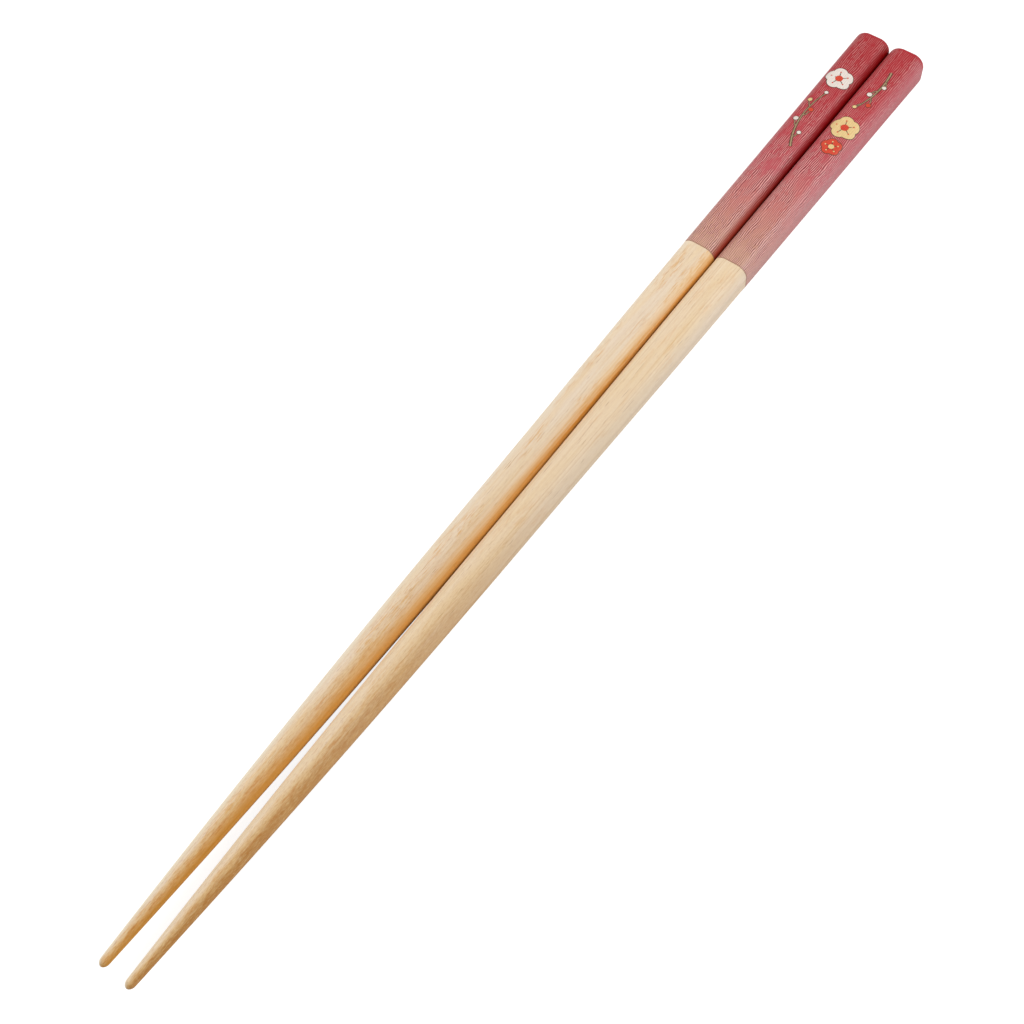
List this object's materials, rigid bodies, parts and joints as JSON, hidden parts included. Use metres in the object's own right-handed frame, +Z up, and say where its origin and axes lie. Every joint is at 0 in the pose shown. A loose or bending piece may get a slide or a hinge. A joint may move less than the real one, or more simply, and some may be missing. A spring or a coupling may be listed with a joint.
{
  "type": "pair of wooden chopsticks",
  "caption": "Pair of long tapered wooden chopsticks with round tips, soft-edged square handle ends and a red lacquered, printed grip.",
  "frame": {"origin": "centre of the pair on the surface it lies on, halfway between the tips and the handle ends", "axes": "+X along the sticks from the tips to the handle ends, +Y to the left stick, +Z up from the surface"},
  "size_m": [0.23, 0.0156, 0.0077],
  "materials": {
    "lacquered_wood": "satin"
  },
  "bodies": {
    "root": {"left_chopstick": "lacquered_wood", "right_chopstick": "lacquered_wood"}
  },
  "joints": []
}
